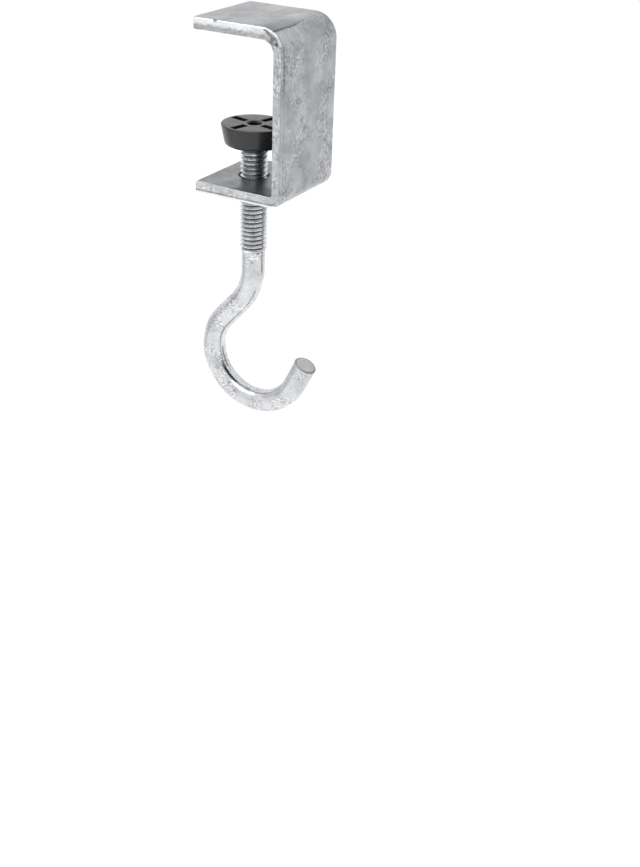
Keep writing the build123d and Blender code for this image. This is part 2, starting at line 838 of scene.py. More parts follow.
def add_ring(
    work: bmesh.types.BMesh,
    station: Station,
    radius: float,
    columns: int,
    swell: float = 0.0,
    dulled: float = 0.0,
) -> Ring:
    """Adds a ring of vertices round a centre line.

    Args:
        work: The mesh.
        station: The ring's centre and direction.
        radius: Its radius.
        columns: Its number of vertices.
        swell: How far its radius may fall short, to either side of that much.
        dulled: How much darker the coat is there, from wear and painted shade.

    Returns:
        The ring's vertices.
    """
    ring = []
    for column in range(columns):
        angle = math.tau * column / columns
        direction = station.outward * math.cos(angle) + ACROSS * math.sin(angle)
        place = station.point + direction * radius
        place += direction * (swell * (uneven(place, SWELL_SIZE) - 1.0))
        ring.append(add_vertex(work, place, dulled))
    return ring


def turn_profile(work: bmesh.types.BMesh, profile: list[Pair], columns: int) -> list[Ring]:
    """Turns an open outline round the screw's axis.

    Args:
        work: The mesh.
        profile: The outline as (radius, height) points.
        columns: The number of vertices in a ring.

    Returns:
        The rings, in the outline's order.
    """
    rings = []
    for radius, height in profile:
        station = Station(Vector((0.0, 0.0, height)), -UP)
        rings.append(add_ring(work, station, radius, columns))
    loft(work, rings)
    return rings


@dataclass
class HookScrew:
    """The rod that is screw and hook in one: turned end, rolled thread, plain shank, bent hook."""

    thread: ThreadForm
    rod_radius: float = 4.25
    thread_length: float = 40.25
    runout: float = 2.2
    end_chamfer: float = 1.0
    neck_radius: float = 2.5
    neck_length: float = 1.7
    button_radius: float = 3.3
    button_height: float = 1.8
    button_chamfer: float = 0.5
    plain_length: float = 5.4
    offset_radius: float = 23.0
    offset_angle: float = 42.0
    offset_run: float = 9.4
    bowl_radius: float = 18.5
    bowl_angle: float = 196.0
    tip_run: float = 10.5
    tip_chamfer: float = 0.42
    ring_step: float = 0.6
    swell: float = 0.03

    # How dark the painted shade in the thread's grooves is and how steeply that rises with depth, and
    # how dull the rod is where the bending tool held it, over its last run up to the tip.
    groove_dulling: float = 0.85
    groove_power: int = 4
    held_dulling: float = 0.22
    held_run: float = 34.0

    # The rings of the tip's face, as (share of its radius, dulling), from its worn rim inwards.
    tip_rings: tuple[Pair, ...] = ((1.0, 0.7), (0.94, 0.35), (0.85, 0.0), (0.25, 0.0))

    def __post_init__(self) -> None:
        """Takes the rod's upper end from the frame, and from it the ends of the thread."""
        self.button_top = node_box("hook_screw")[1].z
        self.thread_top = self.button_top - self.button_height - self.neck_length
        self.thread_end = self.thread_top - self.thread_length

    def thread_shape(self, height: float, depth: float) -> Pair:
        """Gives the thread's radius, with its run-out below and its chamfer above.

        Args:
            height: The point's height.
            depth: Its depth below the crest.

        Returns:
            The radius and the darkening, which is painted shade deep in the grooves.
        """
        share = min(1.0, (height - self.thread_end) / self.runout)
        share = share * share * (3 - 2 * share)
        full = self.thread.crest_radius - depth
        reach = self.rod_radius + (full - self.rod_radius) * share
        cone = self.thread.crest_radius - self.end_chamfer + self.thread_top - height
        # Painted shade: the grooves darken steeply towards their roots.
        dulled = self.groove_dulling * share * (depth / self.thread.depth) ** self.groove_power
        return min(reach, cone), dulled

    def centre_line(self) -> list[Station]:
        """Walks the rod from the thread's end to the tip.

        Returns:
            The stations on its centre line.
        """
        line = BentLine(Vector((0.0, 0.0, self.thread_end)), -UP)
        line.run(self.plain_length, self.ring_step)
        line.bend(self.offset_radius, -self.offset_angle, self.ring_step)
        line.run(self.offset_run, self.ring_step)
        line.bend(self.bowl_radius, self.bowl_angle, self.ring_step)
        line.run(self.tip_run - self.tip_chamfer, self.ring_step)
        return line.stations

    def build(self) -> bpy.types.Object:
        """Builds and dresses the hook screw.

        Returns:
            The piece.
        """
        work = start_mesh()
        columns = self.thread.columns
        neck_top = self.button_top - self.button_height
        turned_end = [
            (self.thread.crest_radius - self.end_chamfer, self.thread_top),
            (self.neck_radius, self.thread_top),
            (self.neck_radius, neck_top),
            (self.button_radius, neck_top),
            (self.button_radius, self.button_top - self.button_chamfer),
            (self.button_radius - self.button_chamfer, self.button_top),
        ]
        work.faces.new(turn_profile(work, turned_end, columns)[-1])
        thread_ends = (self.thread_end, self.thread_top)
        self.thread.wrap(work, self.thread_end, *thread_ends, self.thread_shape, RodZone.THREAD)
        stations = self.centre_line()
        rings = []
        for index, station in enumerate(stations):
            fade = min(1.0, index * self.ring_step / self.plain_length)
            to_tip = (len(stations) - index) * self.ring_step
            held = self.held_dulling * max(0.0, 1.0 - to_tip / self.held_run)
            ring = add_ring(work, station, self.rod_radius, columns, self.swell * fade, held)
            rings.append(ring)
        loft(work, rings, zones=RodZone.ROD)
        self.close_tip(work, rings[-1], stations[-1])
        bmesh.ops.remove_doubles(work, verts=work.verts, dist=MERGE_DISTANCE)
        finishes = [ROD_FINISHES[zone].build() for zone in RodZone]
        piece = make_piece(work, "screw_and_hook", finishes, CRISP_METAL)
        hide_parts("hook_screw")
        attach(piece, Body.HOOK.value)
        return piece

    def close_tip(self, work: bmesh.types.BMesh, last: Ring, station: Station) -> None:
        """Closes the sawn tip with a worn chamfer and a flat face.

        Args:
            work: The mesh.
            last: The rod's last ring.
            station: Where that ring is.
        """
        radius = self.rod_radius - self.tip_chamfer
        place = Station(station.point + station.along * self.tip_chamfer, station.along)
        rings = [last]
        for share, dulled in self.tip_rings:
            ring = add_ring(work, place, radius * share, self.thread.columns, self.swell, dulled)
            rings.append(ring)
        loft(work, rings, zones=RodZone.TIP)
        work.faces.new(rings[-1]).material_index = RodZone.TIP


@dataclass(frozen=True)
class Dent:
    """A small knock in the bar, with its place, radius and depth."""

    place: tuple[float, float, float]
    radius: float
    depth: float

    def share(self, point: Vector) -> float:
        """Gives how deep in the dent a point is.

        Args:
            point: The point.

        Returns:
            One at its middle, down to zero at its rim and outside.
        """
        away = (point - Vector(self.place)).length / self.radius
        return (1.0 - away * away) ** 2 if away < 1.0 else 0.0


@dataclass(frozen=True)
class PressMark:
    """The ragged line that the press left across the upper bend.

    Angles say how far round the bend it is, from straight up. It runs level to its knee, falls
    from there to the far edge of the bar, and is strongest at the near edge.
    """

    angle: float = 30.0
    knee: float = -4.0
    fall: float = 1.0
    ragged: float = 1.5
    ragged_size: float = 1.6
    width: float = 3.4
    reach: float = 26.0
    depth: float = 0.14

    # The painted shade on the line's upper side and in the run up to it, the darkening beyond it at
    # the bar's far edge, and the angle at which all of it ends.
    upper_side: float = 2.4
    rubbed: float = 0.6
    rubbed_lead: float = 2.0
    rubbed_reach: float = 5.0
    far_edge: float = 0.3
    end: float = 80.0

    def near(self, from_near_edge: float) -> float:
        """Gives the mark's strength, from one at the bar's near edge down to zero."""
        return max(0.0, 1.0 - from_near_edge / self.reach)

    def turn(self, across: float) -> float:
        """Gives how far round the bend the mark is, at a place across the bar."""
        ragged = self.ragged * uneven(ACROSS * across, self.ragged_size)
        return self.angle + ragged - self.fall * max(0.0, across - self.knee)

    def line(self, turned: float, across: float) -> float:
        """Gives one on the mark and zero away from it, at an angle and a place across the bar."""
        return math.exp(-(((turned - self.turn(across)) / self.width) ** 2))


@dataclass(frozen=True)
class BarWear:
    """How much darker wear and, in places, painted shade leave the bar's coat, from zero to one, and how
    wide its patches are.
    """

    # In the tear line: on the upper jaw it grows from the jaw's end to the web.
    torn: float = 0.8
    torn_fade: float = 0.5
    upper_torn: float = 0.5
    upper_torn_patch: float = 5.0
    upper_torn_end: float = 0.1
    upper_torn_power: int = 4
    lower_torn: float = 0.7
    lower_torn_swing: float = 0.3
    lower_torn_patch: float = 3.0

    # On the slit edges: where the upper bend stretched them, and all over.
    stretched: float = 0.45
    stretched_patch: float = 1.5
    slit_edge: float = 0.2
    slit_edge_swing: float = 0.1

    # Painted shade down the web's corners, in a band of this middle height and reach.
    smear: float = 0.5
    smear_height: float = -9.0
    smear_reach: float = 8.0

    # A darker line along the edges of the lower jaw's top, growing from the jaw's end towards the web.
    # Its width is in steps of the mesh, so that it always takes in one row of vertices.
    pressed_line: float = 0.55
    pressed_line_growth: float = 2.0
    pressed_line_steps: float = 1.5


@dataclass
class Bracket:
    """Flat bar with rolled edges, bent to a C, with a tapped hole through the lower jaw."""

    thread: ThreadForm
    thread_phase: float
    thickness: float = 4.0
    upper_bend_radius: float = 4.2
    lower_bend_radius: float = 0.8
    outer_edge_radius: float = 1.0
    inner_edge_radius: float = 0.4
    end_edge_radius: float = 0.35
    thread_clearance: float = 0.05
    hole_chamfer: float = 0.6
    overrun: float = 1.0

    # The mesh's steps along the bar, and its rows of faces round each edge.
    mesh_step: float = 0.7
    bend_step: float = 0.22
    inner_edge_rows: int = 4
    side_rows: int = 6
    outer_edge_rows: int = 8
    end_edge_rows: int = 4

    # The tear line along the slit edges, with its bottom at a share of its width.
    tear_width: float = 0.36
    tear_depth: float = 0.08
    tear_bottom: float = 0.35

    # Unevenness of the skin, and of the slit edges in two sizes, but not near the tapped hole.
    skin_depth: float = 0.03
    skin_size: float = 5.0
    slit_depth: float = 0.08
    slit_sizes: Pair = (1.1, 0.6)
    hole_margin: float = 3.0
    jaw_margin: float = 1.0
    rim_margin: float = 0.05

    # Where the corners' painted highlight goes, on what the press burnished: a share of the outer
    # corner, up to an angle round the upper bend, and a strip with a frayed border down the upper jaw's
    # edge. The jaw's own finishes end at jaw_turn.
    burnished_share: float = 0.4
    burnished_turn: float = 68.0
    strip_drop: float = 1.85
    strip_fray: float = 0.35
    strip_fray_size: float = 1.7
    jaw_turn: float = 45.0

    mark: PressMark = PressMark()
    wear: BarWear = BarWear()
    dents: tuple[Dent, ...] = (
        Dent(place=(-4.6, -17.2, 3.7), radius=1.0, depth=0.35),
        Dent(place=(18.2, -17.5, -0.9), radius=1.3, depth=0.7),
        Dent(place=(16.3, -17.4, -1.3), radius=0.9, depth=0.2),
        Dent(place=(14.1, -17.5, 3.0), radius=0.7, depth=0.2),
        Dent(place=(14.8, -17.5, 2.7), radius=0.8, depth=0.25),
        Dent(place=(15.5, -17.5, 2.2), radius=0.8, depth=0.3),
        Dent(place=(16.1, -17.5, 1.6), radius=0.8, depth=0.3),
        Dent(place=(16.7, -17.5, 1.0), radius=0.7, depth=0.2),
    )

    def __post_init__(self) -> None:
        """Takes the outer sizes from the frame, and works out what follows from them."""
        self.low, self.high = node_box("bracket")
        self.half_width = (self.high.y - self.low.y) / 2
        self.jaw_top = self.low.z + self.thickness
        self.corner_foot = self.thickness - self.outer_edge_radius
        self.bend_centre = Vector((self.high.x - self.thickness, 0.0, self.high.z - self.thickness))
        self.bend_centre += Vector((-self.upper_bend_radius, 0.0, -self.upper_bend_radius))
        self.tear_height = self.corner_foot - self.tear_width * (1.0 - self.tear_bottom)
        self.outline = self.section()

    def section(self) -> list[tuple[Vector, Vector, BarZone]]:
        """Draws the bar's section, from the middle of its inner face all the way round.

        Returns:
            Points and outward directions as (across, height above the inner face), and surfaces.
        """
        inner, outer = self.inner_edge_radius, self.outer_edge_radius
        steps = math.ceil(self.half_width / self.mesh_step)
        down, side, up = Vector((0.0, -1.0)), Vector((1.0, 0.0)), Vector((0.0, 1.0))
        half = []
        flat_end = self.half_width - inner
        for index in range(steps):
            half.append((Vector((flat_end * index / steps, 0.0)), down, BarZone.INNER_FACE))
        for place in arc((flat_end, inner), inner, -90, 0, self.inner_edge_rows):
            away = (Vector(place) - Vector((flat_end, inner))).normalized()
            half.append((Vector(place), away, BarZone.SLIT_EDGE))
        side_height = self.corner_foot - self.tear_width - inner
        for row in range(1, self.side_rows + 1):
            place = Vector((self.half_width, inner + side_height * row / self.side_rows))
            half.append((place, side, BarZone.SLIT_EDGE))
        bottom = Vector((self.half_width - self.tear_depth, self.tear_height))
        half.append((bottom, side, BarZone.SLIT_EDGE))
        flat_end = self.half_width - outer
        for place in arc((flat_end, self.corner_foot), outer, 0, 90, self.outer_edge_rows):
            away = (Vector(place) - Vector((flat_end, self.corner_foot))).normalized()
            half.append((Vector(place), away, BarZone.FACE))
        for index in range(1, steps + 1):
            place = Vector((flat_end * (1 - index / steps), self.thickness))
            half.append((place, up, BarZone.FACE))
        mirrored = [
            (Vector((-point.x, point.y)), Vector((-away.x, away.y)), zone)
            for point, away, zone in reversed(half[1:-1])
        ]
        return half + mirrored

    def centre_line(self) -> list[Station]:
        """Walks the middle of the bar's thickness from the upper jaw's end to the lower jaw's.

        Returns:
            The stations.
        """
        half = self.thickness / 2
        upper = self.upper_bend_radius + half
        lower = self.lower_bend_radius + half
        start = Vector((self.low.x + self.end_edge_radius, 0.0, self.high.z - half))
        web = self.high.x - half
        line = BentLine(start, Vector((1.0, 0.0, 0.0)))
        line.run(web - upper - start.x, self.mesh_step)
        line.bend(upper, -90.0, self.bend_step)
        line.run(self.high.z - self.low.z - self.thickness - upper - lower, self.mesh_step)
        line.bend(lower, -90.0, self.bend_step)
        line.run(web - lower - start.x, self.mesh_step)
        return line.stations

    def add_section(self, work: bmesh.types.BMesh, station: Station, inset: float) -> Ring:
        """Adds the bar's section at a station.

        Args:
            work: The mesh.
            station: Where it lies.
            inset: How far it is drawn in from the full section.

        Returns:
            Its ring of vertices.
        """
        ring = []
        for point, away, _ in self.outline:
            drawn = point - away * inset
            height = station.outward * (drawn.y - self.thickness / 2)
            place = station.point + height + ACROSS * drawn.x
            ring.append(add_vertex(work, place, self.dulling(station, point)))
        return ring

    @staticmethod
    def bent(turned: float) -> float:
        """Gives one in the middle of the upper bend and zero on the jaws and the web."""
        return max(0.0, math.sin(math.radians(2 * turned)))

    def dulling(self, station: Station, point: Vector) -> float:
        """Says how much darker the bar's coat is, from wear and painted shade.

        Args:
            station: A place along the bar.
            point: A place in its section, as (across, height above the inner face).

        Returns:
            The darkening, from zero to one.
        """
        wear = self.wear
        turned = math.degrees(math.atan2(station.outward.x, station.outward.z))
        inwards = (station.point.x - self.low.x) / (self.high.x - self.low.x)
        from_middle = abs(point.x)
        if from_middle > self.half_width - self.inner_edge_radius / 2:
            return self.edge_dulling(station, point.y, turned, inwards)
        # Painted shade down the web's rolled outer corners, darkest at a middle height.
        if from_middle > self.half_width - self.outer_edge_radius and point.y > self.corner_foot:
            from_smear = (station.point.z - wear.smear_height) / wear.smear_reach
            return wear.smear * max(0.0, station.outward.x) * math.exp(-(from_smear**2))
        # A darker line along the edges of the lower jaw's top.
        line_width = self.mesh_step * wear.pressed_line_steps
        line_start = self.half_width - self.inner_edge_radius - line_width
        if point.y < MERGE_DISTANCE and from_middle > line_start:
            grown = min(1.0, wear.pressed_line_growth * inwards)
            return wear.pressed_line * max(0.0, -station.outward.z) * grown
        if point.y < self.corner_foot or turned > self.mark.end:
            return 0.0
        return self.face_dulling(station, point.x, turned)

    def edge_dulling(self, station: Station, height: float, turned: float, inwards: float) -> float:
        """Says how much duller a slit edge is: in its tear line, where it was stretched, and all over.

        Args:
            station: A place along the bar.
            height: A height above the inner face.
            turned: How far the bar has turned there, from the upper jaw.
            inwards: Where that is, from zero at a jaw's end to one at the web.

        Returns:
            The darkening, from zero to one.
        """
        wear = self.wear
        facing_up = station.outward.z
        if facing_up > 0.0:
            grown = inwards**wear.upper_torn_power
            grown = wear.upper_torn_end + (1.0 - wear.upper_torn_end) * grown
            patchy = wear.upper_torn + uneven(station.point, wear.upper_torn_patch)
            patchy *= grown * facing_up
        else:
            swing = wear.lower_torn_swing * uneven(station.point, wear.lower_torn_patch)
            patchy = (wear.lower_torn + swing) * -facing_up
        from_tear = abs(height - self.tear_height) / self.tear_width
        torn = (1.0 - wear.torn_fade * from_tear) * patchy if from_tear < 1.0 else 0.0
        patch = uneven(station.point + UP * height, wear.stretched_patch)
        stretched = wear.stretched * self.bent(turned) * (1.0 + patch)
        # The strip down the upper jaw's edge that carries the painted highlight gets no grey.
        strip_foot = self.thickness - self.strip_drop - self.strip_fray
        burnished = turned < self.jaw_turn and height > strip_foot
        greyed = 0.0 if burnished else wear.slit_edge + wear.slit_edge_swing * facing_up
        return max(wear.torn * torn, stretched, greyed)

    def face_dulling(self, station: Station, across: float, turned: float) -> float:
        """Says how much darker the outer face is, on both sides of the press mark: painted shade along
        the mark and in the run up to it, and a darkening towards the bar's far edge.

        Args:
            station: A place along the bar.
            across: A place across it.
            turned: How far the bar has turned there, from the upper jaw.

        Returns:
            The darkening, from zero to one.
        """
        mark = self.mark
        near = mark.near(across + self.half_width)
        line = mark.line(turned, across)
        if turned > mark.turn(across):
            # Past the mark: painted shade along its line, and a darkening towards the bar's far edge.
            return max(near * line, mark.far_edge * self.bent(turned) * (1.0 - near))
        from_bend = station.point.x - self.high.x + self.thickness / 2 + self.upper_bend_radius
        fade = math.exp(min(0.0, from_bend + mark.rubbed_lead) / mark.rubbed_reach)
        # Before the mark: painted shade along its line and in the run up to it, strongest at the near
        # edge.
        return near * max(mark.upper_side * line, mark.rubbed * fade)

    def build(self) -> bpy.types.Object:
        """Builds and dresses the bracket.

        Returns:
            The piece.
        """
        work = start_mesh()
        stations = self.centre_line()
        rings = [self.add_section(work, station, 0.0) for station in stations]
        eased = arc((0.0, 0.0), self.end_edge_radius, 90, 0, self.end_edge_rows)[1:]
        for station, outward in ((stations[0], -1.0), (stations[-1], 1.0)):
            for along, drop in eased:
                place = Station(station.point + station.along * (outward * along), station.along)
                ring = self.add_section(work, place, self.end_edge_radius - drop)
                rings.insert(0 if outward < 0.0 else len(rings), ring)
        zones = [zone for _, _, zone in self.outline]
        spans = [
            BarZone.SLIT_EDGE if BarZone.SLIT_EDGE in (zone, after) else zone
            for zone, after in zip(zones, zones[1:] + zones[:1])
        ]
        loft(work, rings, zones=spans)
        self.mark_zones(work)
        for ring in (rings[0], rings[-1]):
            work.faces.new(ring).material_index = BarZone.SLIT_EDGE
        self.make_uneven(work)
        finishes = [BAR_FINISHES[zone].build() for zone in BarZone]
        piece = make_piece(work, "bent_bracket", finishes, CRISP_METAL)
        cut(piece, self.hole_tool(finishes), CRISP_METAL)
        self.dull_hole(piece.data)
        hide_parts("bracket")
        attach(piece, Body.BRACKET.value)
        return piece

    def turned(self, place: Vector) -> float:
        """Gives how far round the upper bend's centre a place is, from straight above it."""
        away = (place.x - self.bend_centre.x, place.z - self.bend_centre.z)
        return math.degrees(math.atan2(*away))

    def on_mark(self, place: Vector) -> float:
        """Gives how near a place is to the press mark.

        Args:
            place: The place.

        Returns:
            One on the mark and zero away from it.
        """
        away = place - self.bend_centre
        mid_radius = self.upper_bend_radius + self.thickness / 2
        if away.z < 0.0 or math.hypot(away.x, away.z) < mid_radius:
            return 0.0
        near = self.mark.near(place.y + self.half_width)
        return near * self.mark.line(self.turned(place), place.y)

    def mark_zones(self, work: bmesh.types.BMesh) -> None:
        """Gives the jaws' edges, the corners with their painted highlight and the upper jaw's top their
        finishes.

        Args:
            work: The mesh.
        """
        for face in work.faces:
            middle = face.calc_center_median()
            if face.material_index == BarZone.SLIT_EDGE:
                face.material_index = self.edge_zone(middle)
            elif face.material_index == BarZone.FACE:
                face.material_index = self.face_zone(middle)

    def edge_zone(self, middle: Vector) -> BarZone:
        """Tells apart the surfaces of the slit edges.

        Args:
            middle: The middle of a face on them.

        Returns:
            Its surface.
        """
        on_upper_jaw = middle.z > self.bend_centre.z and self.turned(middle) < self.jaw_turn
        # A strip down the upper jaw's edge takes the corners' painted highlight.
        fray = self.strip_fray * uneven(middle, self.strip_fray_size)
        if on_upper_jaw and middle.z > self.high.z - self.strip_drop - fray:
            return BarZone.CORNER
        if on_upper_jaw or middle.z < self.jaw_top:
            return BarZone.JAW_EDGE
        return BarZone.SLIT_EDGE

    def face_zone(self, middle: Vector) -> BarZone:
        """Tells apart the surfaces of the outer face and its rolled corners.

        Args:
            middle: The middle of a face on them.

        Returns:
            Its surface.
        """
        from_middle = abs(middle.y)
        # Rolled corners under the lower jaw and round the upper bend take the painted highlight.
        if middle.z < self.low.z + self.outer_edge_radius:
            on_corner = from_middle > self.half_width - self.outer_edge_radius
            return BarZone.CORNER if on_corner else BarZone.FACE
        if middle.z < self.bend_centre.z:
            return BarZone.FACE
        turned = self.turned(middle)
        corner = self.half_width - self.outer_edge_radius * self.burnished_share
        if from_middle > corner and turned < self.burnished_turn:
            return BarZone.CORNER
        return BarZone.JAW_TOP if turned < self.mark.turn(middle.y) else BarZone.FACE

    def make_uneven(self, work: bmesh.types.BMesh) -> None:
        """Gives the rolled faces a faint wave and the slit edges a rougher one, but not the hole.

        Args:
            work: The mesh.
        """
        bmesh.ops.recalc_face_normals(work, faces=work.faces)
        work.normal_update()
        layer = work.verts.layers.float[DULLED]
        keep_off = self.thread.crest_radius + self.hole_margin
        for vertex in work.verts:
            place = vertex.co
            from_axis = math.hypot(place.x, place.y)
            if place.z < self.jaw_top + self.jaw_margin and from_axis < keep_off:
                continue
            height = self.skin_depth * (uneven(place, self.skin_size) - 1.0)
            if abs(place.y) > self.half_width - self.inner_edge_radius:
                coarse, fine = [uneven(place, size) for size in self.slit_sizes]
                height += self.slit_depth * (coarse + fine / 2 - 1.0)
            height -= self.mark.depth * self.on_mark(place)
            for dent in self.dents:
                share = dent.share(place)
                height -= share * dent.depth
                # Each dent also darkens towards its middle: painted shade in the knock.
                vertex[layer] = max(vertex[layer], share)
            vertex.co += vertex.normal * height

    def hole_shape(self, height: float, depth: float) -> Pair:
        """Gives the tapped hole's radius, with a countersink at both mouths.

        Args:
            height: The point's height.
            depth: Its depth below the screw's crest.

        Returns:
            The radius and the darkening, full all through the hole as painted shade.
        """
        crest = self.thread.crest_radius + self.thread_clearance
        root = crest - self.thread.depth + 2 * self.thread_clearance
        inside = min(height - self.low.z, self.jaw_top - height)
        # The hole's walls are fully darkened: painted shade inside the hole.
        return max(crest - depth, root, crest + self.hole_chamfer - inside), 1.0

    def dull_hole(self, mesh: bpy.types.Mesh) -> None:
        """Darkens the cut hole and its rims fully: painted shade in the hole and round its mouths.

        Args:
            mesh: The bracket's mesh, in metres.
        """
        crest = self.thread.crest_radius + self.thread_clearance
        reach = crest + self.hole_chamfer + self.rim_margin
        dulled = mesh.attributes[DULLED].data
        for vertex in mesh.vertices:
            place = vertex.co / MM
            on_jaw = place.z < self.jaw_top + self.rim_margin
            if on_jaw and math.hypot(place.x, place.y) < reach:
                dulled[vertex.index].value = 1.0

    def hole_tool(self, finishes: list[bpy.types.Material]) -> bpy.types.Object:
        """Makes the shape that cuts the tapped hole.

        Args:
            finishes: The bracket's materials.

        Returns:
            The cutting object.
        """
        work = start_mesh()
        low, high = self.low.z - self.overrun, self.jaw_top + self.overrun
        self.thread.wrap(work, self.thread_phase, low, high, self.hole_shape, BarZone.HOLE)
        bmesh.ops.remove_doubles(work, verts=work.verts, dist=MERGE_DISTANCE)
        bmesh.ops.holes_fill(work, edges=work.edges, sides=0)
        return make_piece(work, "hole_tool", finishes, CRISP_METAL)


@dataclass
class PressurePad:
    """Moulded pad: tapered side, rounded base, centre hole, four radial slots, snap-in lip."""

    base_radius: float = 10.1
    base_edge_radius: float = 1.4
    rim_edge_radius: float = 0.35
    hole_radius: float = 2.45
    hole_chamfer: float = 0.45
    recess_radius: float = 5.05
    lip_radius: float = 2.58
    lip_bottom: float = 1.2
    lip_top: float = 2.8
    chamber_radius: float = 3.6
    chamber_top: float = 4.95
    slot_count: int = 4
    slot_width: float = 2.7
    slot_depth: float = 3.0
    slot_corner_radius: float = 0.4
    slot_inner: float = 3.95
    slot_outer: float = 10.3
    slot_turn: float = -14.0
    slot_ease: float = 0.12

    # The mesh: vertices in a ring, rows round each edge, and rings on the flat top and base.
    columns: int = 128
    rim_rows: int = 6
    base_edge_rows: int = 10
    slot_corner_rows: int = 4
    top_rings: tuple[float, ...] = (4.5, 6.5, 8.5)
    base_ring: float = 7.0

    # The centre hole's eased mouth as (out, down), in shares of its chamfer.
    hole_mouth: tuple[Pair, ...] = ((0.0, 1.0), (0.9, 0.1), (1.2, 0.0))

    def __post_init__(self) -> None:
        """Takes the outer sizes from the frame."""
        low, high = node_box("pressure_pad")
        self.base, self.top = low.z, high.z
        self.rim_radius = (high.y - low.y) / 2

    def profile(self) -> list[Pair]:
        """Draws half of the pad's section, from the recess under it up its middle and round.

        Returns:
            The outline as (radius, height) points, its last next to its first.
        """
        base, top = self.base, self.top
        slope = math.degrees(math.atan2(top - base, self.rim_radius - self.base_radius))
        ease, foot = self.rim_edge_radius, self.base_edge_radius
        rim_centre = (self.rim_radius - ease, top - ease)
        foot_centre = (self.base_radius - foot * math.tan(math.radians(slope / 2)), base + foot)
        outline = [
            (self.recess_radius, base),
            (self.recess_radius, base + self.lip_bottom),
            (self.lip_radius, base + self.lip_bottom),
            (self.lip_radius, base + self.lip_top),
            (self.chamber_radius, base + self.lip_top),
            (self.chamber_radius, base + self.chamber_top),
            (self.hole_radius, base + self.chamber_top),
        ]
        for out, down in self.hole_mouth:
            outline.append((self.hole_radius + self.hole_chamfer * out, top - self.hole_chamfer * down))
        outline += [(radius, top) for radius in self.top_rings]
        outline += arc(rim_centre, ease, 90, slope - 90, self.rim_rows)
        outline += arc(foot_centre, foot, slope - 90, -90, self.base_edge_rows)
        outline.append((self.base_ring, base))
        return outline

    def build(self) -> bpy.types.Object:
        """Builds and dresses the pressure pad.

        Returns:
            The piece.
        """
        work = start_mesh()
        rings = turn_profile(work, self.profile(), self.columns)
        loft(work, [rings[-1], rings[0]])
        finish = MouldedNylon().build()
        piece = make_piece(work, "slotted_pad", [finish], CRISP_PLASTIC)
        cut(piece, self.slot_tool(finish), CRISP_PLASTIC)
        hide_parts("pressure_pad")
        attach(piece, Body.PAD.value)
        return piece

    def slot_outline(self, grown: float) -> list[Pair]:
        """Draws one slot's rounded outline along +X.

        Args:
            grown: How far it is offset outwards.

        Returns:
            Its corner points, all round.
        """
        radius = self.slot_corner_radius
        half_width = self.slot_width / 2
        corners = [
            ((self.slot_outer - radius, half_width - radius), 0),
            ((self.slot_inner + radius, half_width - radius), 90),
            ((self.slot_inner + radius, radius - half_width), 180),
            ((self.slot_outer - radius, radius - half_width), 270),
        ]
        points = []
        for centre, first in corners:
            points += arc(centre, radius + grown, first, first + 90, self.slot_corner_rows)
        return points

    def slot_tool(self, finish: bpy.types.Material) -> bpy.types.Object:
        """Makes the shape that cuts all slots, with mouths that flare by a moulding's ease.

        Args:
            finish: The pad's material.

        Returns:
            The cutting object.
        """
        work = start_mesh()
        levels = [
            (self.top - self.slot_depth, 0.0),
            (self.top - self.slot_ease, 0.0),
            (self.top + self.slot_ease, 2 * self.slot_ease),
        ]
        for index in range(self.slot_count):
            angle = math.radians(self.slot_turn + 360 * index / self.slot_count)
            turn = Matrix.Rotation(angle, 3, UP)
            rings = []
            for height, grown in levels:
                outline = [Vector((x, y, height)) for x, y in self.slot_outline(grown)]
                rings.append([add_vertex(work, turn @ corner) for corner in outline])
            loft(work, rings)
            work.faces.new(rings[0])
            work.faces.new(rings[-1])
        return make_piece(work, "slot_tool", [finish], CRISP_PLASTIC)


@dataclass
class Lamp:
    """A soft rectangular lamp, aimed at the object's middle. Its power is in watts."""

    name: str
    place: tuple[float, float, float]
    width: float
    height: float
    power: float

    def build(self, target: Vector) -> None:
        """Adds the lamp.

        Args:
            target: What it points at, in millimetres.
        """
        data = bpy.data.lights.new(self.name, "AREA")
        data.shape = "RECTANGLE"
        data.size = self.width * MM
        data.size_y = self.height * MM
        data.energy = self.power
        lamp = bpy.data.objects.new(self.name, data)
        lamp.location = Vector(self.place) * MM
        aim = target - Vector(self.place)
        lamp.rotation_euler = aim.to_track_quat("-Z", "Y").to_euler()
        bpy.context.scene.collection.objects.link(lamp)


@dataclass
class DarkCard:
    """A strip of dark card that only mirrors show: it draws the lines that give bright metal form.

    It bends in an arc round the object's middle, in an upright plane, and casts no shadow.
    """

    name: str
    colour: str
    heading: float
    lowest: float
    highest: float
    width: float
    radius: float = 700.0
    steps: int = 24

    def build(self, middle: Vector) -> None:
        """Adds the card.

        Args:
            middle: The middle of its arc.
        """
        work = start_mesh()
        level = Matrix.Rotation(math.radians(self.heading), 3, UP)
        rows = []
        for index in range(self.steps + 1):
            angle = math.radians(self.lowest + (self.highest - self.lowest) * index / self.steps)
            reach = Vector((math.cos(angle), 0.0, math.sin(angle))) * self.radius
            sides = (-self.width / 2, self.width / 2)
            places = [middle + level @ (reach + ACROSS * side) for side in sides]
            rows.append([add_vertex(work, place) for place in places])
        loft(work, rows, closed=False)
        material = start_material("matt_card")
        tree = material.node_tree
        card = add_node(tree, "ShaderNodeBsdfDiffuse", {"Color": linear(self.colour)})
        add_node(tree, "ShaderNodeOutputMaterial", links={"Surface": card.outputs["BSDF"]})
        strip = make_piece(work, self.name, [material], CRISP_STAGE)
        strip.visible_camera = False
        strip.visible_diffuse = False
        strip.visible_shadow = False


